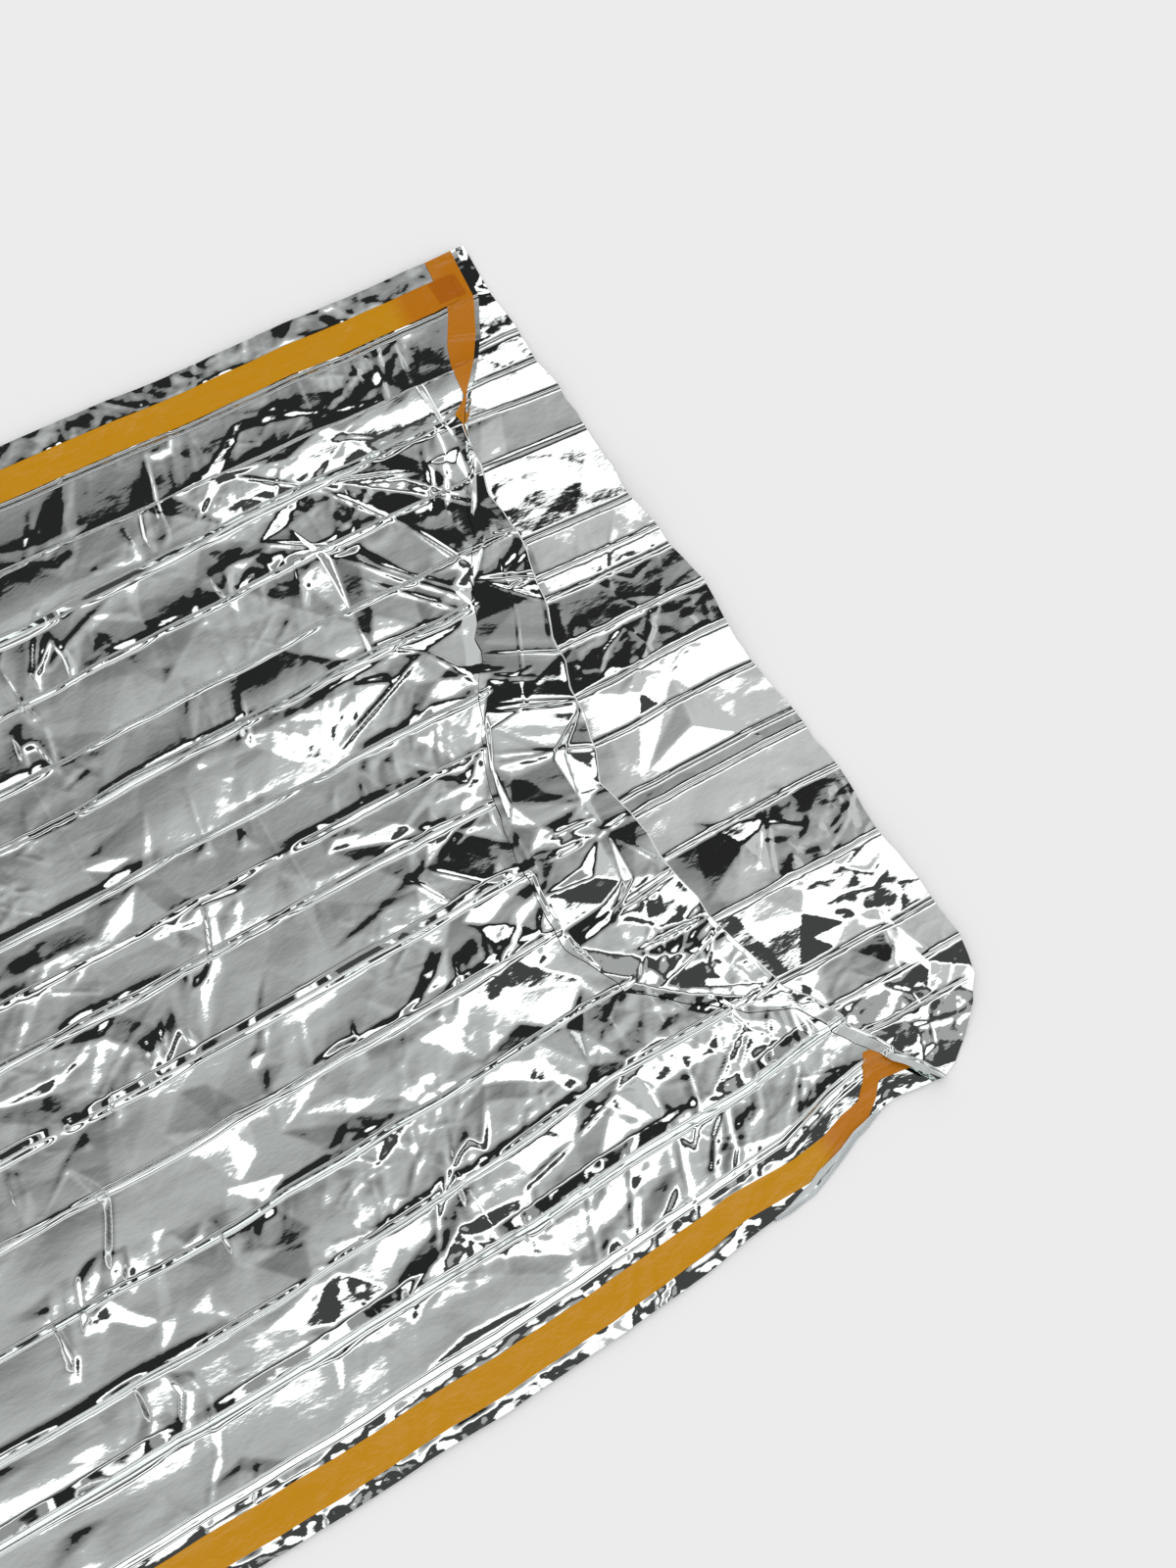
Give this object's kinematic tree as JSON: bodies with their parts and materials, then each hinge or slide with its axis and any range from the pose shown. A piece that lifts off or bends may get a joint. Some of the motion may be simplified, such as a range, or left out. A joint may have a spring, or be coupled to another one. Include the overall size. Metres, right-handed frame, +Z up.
{
  "type": "emergency sleeping bag",
  "caption": "Metallised foil sleeping bag laid open on the ground, pleated lengthwise, with taped long edges and its mouth edge turned back as an uneven cuff.",
  "frame": {"origin": "bottom centre of the bag as it lies, on the surface it rests on", "axes": "+X across the bag, +Y along it from the foot to the mouth, +Z up"},
  "size_m": [0.918, 2, 0.0357],
  "materials": {
    "foil_outer": "bright crinkled metallised film",
    "foil_inner": "bright crinkled metallised film",
    "amber_tape": "glossy amber film tape"
  },
  "bodies": {
    "root": {"back_panel": "foil_inner", "front_panel": "foil_outer", "side_tape_left": "amber_tape", "side_tape_right": "amber_tape", "mouth_tape": "amber_tape"}
  },
  "joints": []
}
